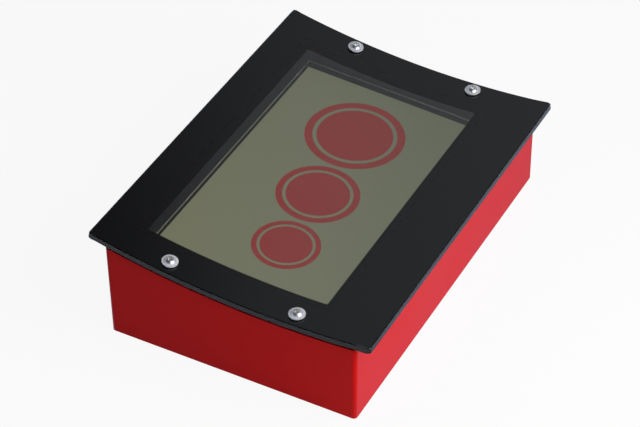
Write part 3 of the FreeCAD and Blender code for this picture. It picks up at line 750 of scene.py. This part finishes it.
# %% Floor and wall
SWEEP_FLOOR = 2.6              # metres, radius of the level part
SWEEP_BEND = 0.5
SWEEP_HEIGHT = 1.0
BEND_STEPS = 12
TURN_STEPS = 96
SEAM_REACH = 0.5 * MM          # points closer than this become one, where the turn closes
profile = [(0.0, 0.0)]
for k in range(BEND_STEPS + 1):
    turn = math.radians(90 * k / BEND_STEPS)
    profile.append((SWEEP_FLOOR + SWEEP_BEND * math.sin(turn), SWEEP_BEND * (1 - math.cos(turn))))
profile.append((SWEEP_FLOOR + SWEEP_BEND, SWEEP_HEIGHT))

spun = bmesh.new()
line = [spun.verts.new((r, 0, z)) for r, z in profile]
edges = [spun.edges.new(pair) for pair in zip(line, line[1:])]
bmesh.ops.spin(spun, geom=line + edges, cent=(0, 0, 0), axis=(0, 0, 1), angle=math.tau, steps=TURN_STEPS)
bmesh.ops.remove_doubles(spun, verts=spun.verts[:], dist=SEAM_REACH)
bmesh.ops.recalc_face_normals(spun, faces=spun.faces[:])
for face in spun.faces:
    face.smooth = True
sweep = make_object("white_sweep", spun)
sweep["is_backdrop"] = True

# %% White paper
WHITE_SHARE = 0.92             # the rest is the lit shade
paper = bpy.data.materials.new("white_paper_sweep")
paper.use_nodes = True
tree = paper.node_tree
tree.nodes.clear()
ray = add_node(tree, "ShaderNodeLightPath").outputs
sight = {0: ray["Is Camera Ray"], 1: ray["Is Transmission Ray"]}
straight = add_node(tree, "ShaderNodeMath", sight, operation="MAXIMUM").outputs[0]
sight = {0: straight, 1: ray["Is Glossy Ray"]}
seen = add_node(tree, "ShaderNodeMath", sight, operation="MAXIMUM").outputs[0]
share = add_node(tree, "ShaderNodeMath", {0: seen, 1: WHITE_SHARE}, operation="MULTIPLY").outputs[0]
lit = add_node(tree, "ShaderNodeBsdfDiffuse", {"Color": linear("#eaeaea")}).outputs[0]
tones = {"Factor": straight, MIX_A: linear("#d3dfff"), MIX_B: linear("#ffffff")}
tone = add_node(tree, "ShaderNodeMix", tones, data_type="RGBA").outputs[MIX_RESULT]
white = add_node(tree, "ShaderNodeEmission", {"Color": tone, "Strength": 1.0}).outputs[0]
mixed = add_node(tree, "ShaderNodeMixShader", {"Fac": share, 1: lit, 2: white}).outputs[0]
add_node(tree, "ShaderNodeOutputMaterial", {"Surface": mixed})
sweep.data.materials.append(paper)
print("made", paper.name)

# %% [markdown]
# ## Room and lamp
# A grey room lights the tray from everywhere, a little cooler and brighter on the right, so that the black
# glass has something to mirror and its border fades from one end to the other. The ceiling is darker, as the
# glass mirrors it towards the camera. One soft lamp at the front lights the front wall and leaves the left
# end in half shade. It stands so near that the front wall fades a little towards its far end. A second lamp
# would fill the shade, and the wedge would look flat.

# %% Grey room
WALL_FADE = (-1.0, 0.7)        # sideways share of a direction at the darkest left and the brightest right
CEILING = (0.68, 0.82)         # upward share of a direction where the walls end and where the ceiling begins
CEILING_SHADE = 0.25
world = bpy.data.worlds.new("grey_room")
bpy.context.scene.world = world
world.use_nodes = True
tree = world.node_tree
room = tree.nodes["Background"]
view = add_node(tree, "ShaderNodeTexCoord").outputs["Generated"]
towards = add_node(tree, "ShaderNodeSeparateXYZ", {"Vector": view}).outputs
reach = {"Value": towards["X"], "From Min": WALL_FADE[0], "From Max": WALL_FADE[1]}
side = add_node(tree, "ShaderNodeMapRange", reach)
walls = {"Factor": side.outputs["Result"], MIX_A: linear("#3f3f3f"), MIX_B: linear("#9ea0a6")}
wall = add_node(tree, "ShaderNodeMix", walls, data_type="RGBA")
fade = {"Value": towards["Z"], "From Min": CEILING[0], "From Max": CEILING[1], "To Min": 1.0,
        "To Max": CEILING_SHADE}
ceiling = add_node(tree, "ShaderNodeMapRange", fade, interpolation_type="SMOOTHSTEP")
tree.links.new(wall.outputs[MIX_RESULT], room.inputs["Color"])
tree.links.new(ceiling.outputs["Result"], room.inputs["Strength"])
print("world:", world.name)

# %% Soft lamp
LAMP_FROM = Vector((-0.20, -0.92, 0.8)).normalized()
LAMP_DISTANCE = 0.75           # metres
LAMP_SIZE = 0.68
LAMP_POWER = 4.8               # watts
lamp_data = bpy.data.lights.new("front_lamp", "AREA")
lamp_data.size = LAMP_SIZE
lamp_data.energy = LAMP_POWER
lamp = bpy.data.objects.new("front_lamp", lamp_data)
lamp.location = LAMP_FROM * LAMP_DISTANCE
lamp.rotation_euler = LAMP_FROM.to_track_quat("Z", "Y").to_euler()
bpy.context.scene.collection.objects.link(lamp)
print("lamp:", lamp.name, "at", [round(v, 2) for v in lamp.location])

# %% [markdown]
# ## Camera
# The camera looks down from the front left with a long lens, so the tray's far edges hardly shrink. It could
# be aimed with a tracking constraint. Two angles, a distance and a small roll say the same in numbers that
# can be measured in a picture.

# %% Camera
AZIMUTH, ELEVATION, ROLL = (math.radians(a) for a in (-61.541, 40.483, -0.764))
DISTANCE = 1692.836 * MM
FOCAL_PX = 2305.228
IMAGE_WIDTH_PX = 640
SENSOR_MM = 36
CLIP_END = 20                  # metres, past the far side of the sweep
AIM = Vector((0, 0, 42 * MM))
AIM_OFFSET = (6.512 * MM, 3.354 * MM)      # of that point from the middle of the image, right and up

back = Vector((math.sin(AZIMUTH) * math.cos(ELEVATION), -math.cos(AZIMUTH) * math.cos(ELEVATION),
               math.sin(ELEVATION)))
level = Vector((math.cos(AZIMUTH), math.sin(AZIMUTH), 0))
upright = back.cross(level)
right_hand = level * math.cos(ROLL) + upright * math.sin(ROLL)
up = upright * math.cos(ROLL) - level * math.sin(ROLL)
lens = bpy.data.cameras.new("camera")
lens.sensor_width = SENSOR_MM
lens.lens = FOCAL_PX / IMAGE_WIDTH_PX * SENSOR_MM
lens.clip_end = CLIP_END
camera = bpy.data.objects.new("camera", lens)
stand = AIM + back * DISTANCE - right_hand * AIM_OFFSET[0] - up * AIM_OFFSET[1]
camera.matrix_world = Matrix.Translation(stand) @ Matrix((right_hand, up, back)).transposed().to_4x4()
bpy.context.scene.collection.objects.link(camera)
bpy.context.scene.camera = camera
bpy.context.scene.view_settings.view_transform = "Standard"
print("lens in mm:", round(lens.lens, 2))

# %% [markdown]
# ## Sizes
# The dressed tray has to fill the same box as its solids, or it would not fit where the part is used. Both
# boxes are compared, and the largest difference is printed.

# %% Sizes
low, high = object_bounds()
gaps = [abs(a - b) for a, b in zip([*low, *high], [*cad_low, *cad_high])]
print("largest difference between the boxes in mm:", round(max(gaps) / MM, 4))
